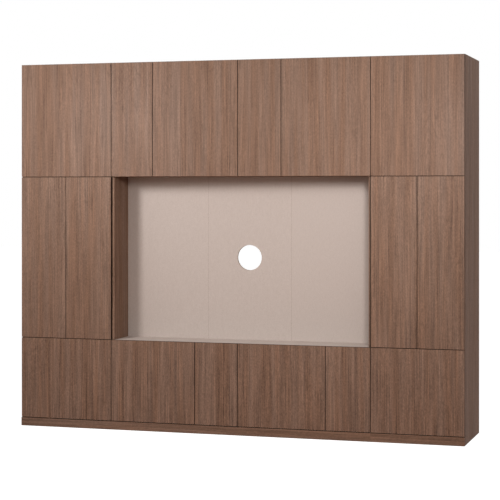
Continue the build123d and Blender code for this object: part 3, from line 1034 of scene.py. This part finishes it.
# half the outline of a foot: pad, neck, threaded stem and the socket under the board
def footProfile(top):
    pad, height, neck = foot["padRadius"], foot["padHeight"], foot["neckRadius"]
    stem, socket, easing = foot["stemRadius"], foot["socketRadius"], foot["socketEasing"]
    profile = [(0, 0), (pad - 0.002, 0), (pad, 0.0015), (pad, height * 0.55), (pad - 0.003, height),
               (neck + 0.002, height), (neck, height + 0.004), (stem, height + 0.005)]
    bottom, upper = height + 0.005, top - foot["socketHeight"]
    step = (upper - bottom) / foot["threads"]
    for turn in range(foot["threads"]):
        profile.append((stem - foot["threadDepth"], bottom + step * (turn + 0.5)))
        profile.append((stem, bottom + step * (turn + 1)))
    return profile + [(socket - easing, upper), (socket, upper + easing), (socket, top), (0, top)]


# levelling feet: the front ones have a clip that reaches the plinth
def buildFeet():
    seats = []
    clips = []
    for low, high in solidBoxes("levelling_feet"):
        x, y = (low.x + high.x) / 2, (low.y + high.y) / 2
        if high.y - low.y > foot["clipped"]:
            y = high.y - foot["padRadius"]
            clips.append((x, low.y, y - foot["stemRadius"]))
        seats.append(place(x, y, 0) @ flat @ Matrix.Diagonal((1, 1, -1, 1)))
    body = turned(footProfile(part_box("levelling_feet")[1][2]), foot["sides"])
    rib = softBar(foot["ribSize"], foot["ribEdge"])
    turns = [Matrix.Rotation(math.tau * turn / foot["ribs"], 4, "Y") for turn in range(foot["ribs"])]
    ribs = [seat @ turn @ place(0, *foot["ribPlace"]) for seat in seats for turn in turns]
    x, front, rear = clips[0]
    clip = softBar((foot["clipWidth"], rear - front, foot["clipThickness"]), foot["clipEdge"])
    clipSeats = [place(x, (front + rear) / 2, foot["clipHeight"]) for x, front, rear in clips]
    groups = [(body, seats), (rib, ribs), (clip, clipSeats)]
    finishPiece(assemble(groups), "adjustable_feet", blackPlastic, "cabinet",
                "levelling_feet")


lining = {
    "rebateWidth": 0.0092,
    "rebateDepth": 0.007,
    "easing": 0.0005,
    "longEdge": 0.1,
}


# the right lining board has a rebate along its front, which leaves a shadow line beside the door
def buildRightLining():
    low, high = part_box("niche_lining_right")
    turnX, turnY = high[0] - lining["rebateWidth"], low[1] + lining["rebateDepth"]
    outline = [(low[0], low[1]), (turnX, low[1]), (turnX, turnY),
               (high[0], turnY), (high[0], high[1]), (low[0], high[1])]
    mesh = bmesh.new()
    end = sheetFrom(mesh, [(x, y, low[2]) for x, y in outline])
    drawOut(mesh, [end], (0, 0, high[2] - low[2]))
    nose = [edge for edge in edgesAt(mesh, low[1]) if edge.calc_length() > lining["longEdge"]]
    bevel(mesh, nose, lining["easing"])
    laminate = nodes["niche_lining_right"].data.materials[0]
    piece = finishPiece(mesh, "niche_lining_right_board", laminate, "cabinet",
                        "niche_lining_right")
    # the rebate's faces get a very dark copy of the laminate, as painted shade
    paint = walnutLaminate("rebate_paint", "Z", 330, tone=boardTones["rebate"])
    piece.data.materials.append(paint)
    for polygon in piece.data.polygons:
        if polygon.center.x > turnX - 1e-5 and polygon.center.y < turnY + 1e-5:
            polygon.material_index = 1


plinth = {
    "joint": 0.0003,
    "widestGap": 0.005,
}


# the plinth boards meet in tight joints, so each reaches a little further than its CAD board
def buildPlinthBoards():
    ends = [corner[0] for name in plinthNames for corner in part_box(name)]
    for name in plinthNames:
        low, high = (Vector(corner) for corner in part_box(name))
        for corner, way in ((low, -1), (high, 1)):
            for end in ends:
                gap = (end - corner.x) * way
                if 1e-5 < gap < plinth["widestGap"]:
                    corner.x += way * (gap - plinth["joint"]) / 2
                    break
        mesh = bmesh.new()
        seat = place(*((low + high) / 2)) @ Matrix.Diagonal((*(high - low), 1))
        bmesh.ops.create_cube(mesh, size=1.0, matrix=seat)
        finishPiece(mesh, name + "_board", nodes[name].data.materials[0], "cabinet", name)


for name in doorNames:
    buildCups(name)
    buildBumpers(name)
buildArms(buildPlates())
buildLatches()
buildPins()
buildFeet()
buildRightLining()
buildPlinthBoards()
print("hinges, latches, pins, feet, lining and plinth built")


stage = {
    "floorSize": 60.0,
    "floorColours": (colour(164, 112, 80), colour(172, 119, 85)),
    "floorRoughness": 0.8,
    "floorWhite": 0.5,    # share of the glow in what the camera sees; the rest shows the shadow
    "floorGlow": 1.82,
    "darkHalf": (1.474, 0.2845),    # half sides of the patch under the unit that doesn't glow
    "darkBlend": 0.003,
    "wallLevel": 0.9,    # light from the studio's walls, near the horizon
    "ceilingLevel": 0.15,
    "wallToCeiling": (0.1, 0.6),    # between these heights of the view, as sines
    "skyColour": (1.0, 0.985, 0.955, 1.0),
    "white": (1.0, 1.0, 1.0, 1.0),
}


# the floor throws warm light, but is seen white
def buildFloor():
    mesh = bmesh.new()
    bmesh.ops.create_grid(mesh, x_segments=1, y_segments=1, size=stage["floorSize"] / 2)
    data = bpy.data.meshes.new("floor")
    mesh.to_mesh(data)
    mesh.free()
    floor = newObject("floor", data)
    material, tree, shader = newMaterial("floor")
    cloud = noise(tree, stretched(tree, objectCoords(tree), (3, 3, 3)), 3.0, 0.5)
    warm = mixColour(tree, ramp(tree, cloud, 0.3, 0.7), *stage["floorColours"])
    tree.links.new(warm, shader.inputs["Base Color"])
    shader.inputs["Roughness"].default_value = stage["floorRoughness"]
    # nothing glows under the unit, so the gap over the plinth stays dark
    spot = separated(tree, objectCoords(tree))
    clear = 0.0
    for axis, half in zip("XY", stage["darkHalf"]):
        away = maths(tree, "ABSOLUTE", spot[axis])
        away = ramp(tree, away, half - stage["darkBlend"], half, 0.0, stage["floorWhite"])
        clear = maths(tree, "MAXIMUM", clear, away)
    white = tree.nodes.new("ShaderNodeBsdfDiffuse")
    white.inputs["Color"].default_value = stage["white"]
    glow = tree.nodes.new("ShaderNodeEmission")
    glow.inputs["Strength"].default_value = stage["floorGlow"]
    shown = mixShaders(tree, clear, white.outputs["BSDF"], glow.outputs["Emission"])
    whole = mixShaders(tree, seenDirectly(tree), shader.outputs["BSDF"], shown)
    tree.links.new(whole, tree.nodes["Material Output"].inputs["Surface"])
    data.materials.append(material)


# the studio lights most from near the horizon, and is seen white
def buildSky():
    world = bpy.data.worlds.new("studio")
    bpy.context.scene.world = world
    world.use_nodes = True
    tree = world.node_tree
    tree.nodes.clear()
    output = tree.nodes.new("ShaderNodeOutputWorld")
    lit = tree.nodes.new("ShaderNodeBackground")
    lit.inputs["Color"].default_value = stage["skyColour"]
    direction = separated(tree, tree.nodes.new("ShaderNodeTexCoord").outputs["Generated"])
    level = ramp(tree, direction["Z"], *stage["wallToCeiling"],
                 stage["wallLevel"], stage["ceilingLevel"])
    tree.links.new(level, lit.inputs["Strength"])
    plain = tree.nodes.new("ShaderNodeBackground")
    plain.inputs["Color"].default_value = stage["white"]
    whole = mixShaders(tree, seenDirectly(tree), lit.outputs[0], plain.outputs[0])
    tree.links.new(whole, output.inputs["Surface"])


lamps = {
    "left": {
        "place": (-1.43, -1.92, 2.2),
        "aim": (0.0, 0.0, 1.3),
        "size": (0.36, 0.36),
        "watts": 26.6,
        "tint": (0.995, 0.99, 0.99),
    },
    "right": {
        "place": (1.41, -1.92, 2.0),
        "aim": (0.0, 0.0, 1.3),
        "size": (0.28, 0.32),
        "watts": 24.0,
        "tint": (0.995, 0.99, 0.99),
    },
    "side": {
        "place": (5.0, 1.1, 3.4),
        "aim": (1.5, 0.0, 1.6),
        "size": (2.4, 2.0),
        "watts": 57.0,
        "tint": (0.87, 1.07, 1.28),
    },
    "top": {
        "place": (0.0, -1.2, 3.4),
        "aim": (0.0, -0.2, 2.0),
        "size": (3.6, 0.4),
        "watts": 2.0,
        "tint": (0.995, 0.99, 0.99),
    },
}


def buildLamp(name, facts):
    data = bpy.data.lights.new(name, "AREA")
    data.shape = "RECTANGLE"
    data.size, data.size_y = facts["size"]
    data.energy = facts["watts"]
    data.color = facts["tint"]
    lamp = newObject(name, data)
    towards = Vector(facts["aim"]) - Vector(facts["place"])
    lamp.matrix_world = place(*facts["place"]) @ towards.to_track_quat("-Z", "Y").to_matrix().to_4x4()


buildFloor()
buildSky()
for name, facts in lamps.items():
    buildLamp(name + "_lamp", facts)
print("floor, sky and lamps ready")

# the photograph is a two-point perspective: the camera is level, and its lens is shifted down
view = {
    "place": (3.056, -9.8495, 1.561),
    "turn": 17.118,    # degrees to the left of the wall's normal
    "focalPixels": 1572.3,
    "horizonRow": 190.89,
    "imagePixels": 500,
    "sensor": 36.0,
}


def buildCamera():
    data = bpy.data.cameras.new("camera")
    data.sensor_width = view["sensor"]
    data.lens = view["focalPixels"] / view["imagePixels"] * view["sensor"]
    data.shift_y = (view["horizonRow"] - view["imagePixels"] / 2) / view["imagePixels"]
    camera = newObject("camera", data)
    camera.location = view["place"]
    camera.rotation_euler = (math.radians(90), 0, math.radians(view["turn"]))
    bpy.context.scene.camera = camera


buildCamera()
bpy.context.scene.view_settings.view_transform = "Standard"
print("camera ready")
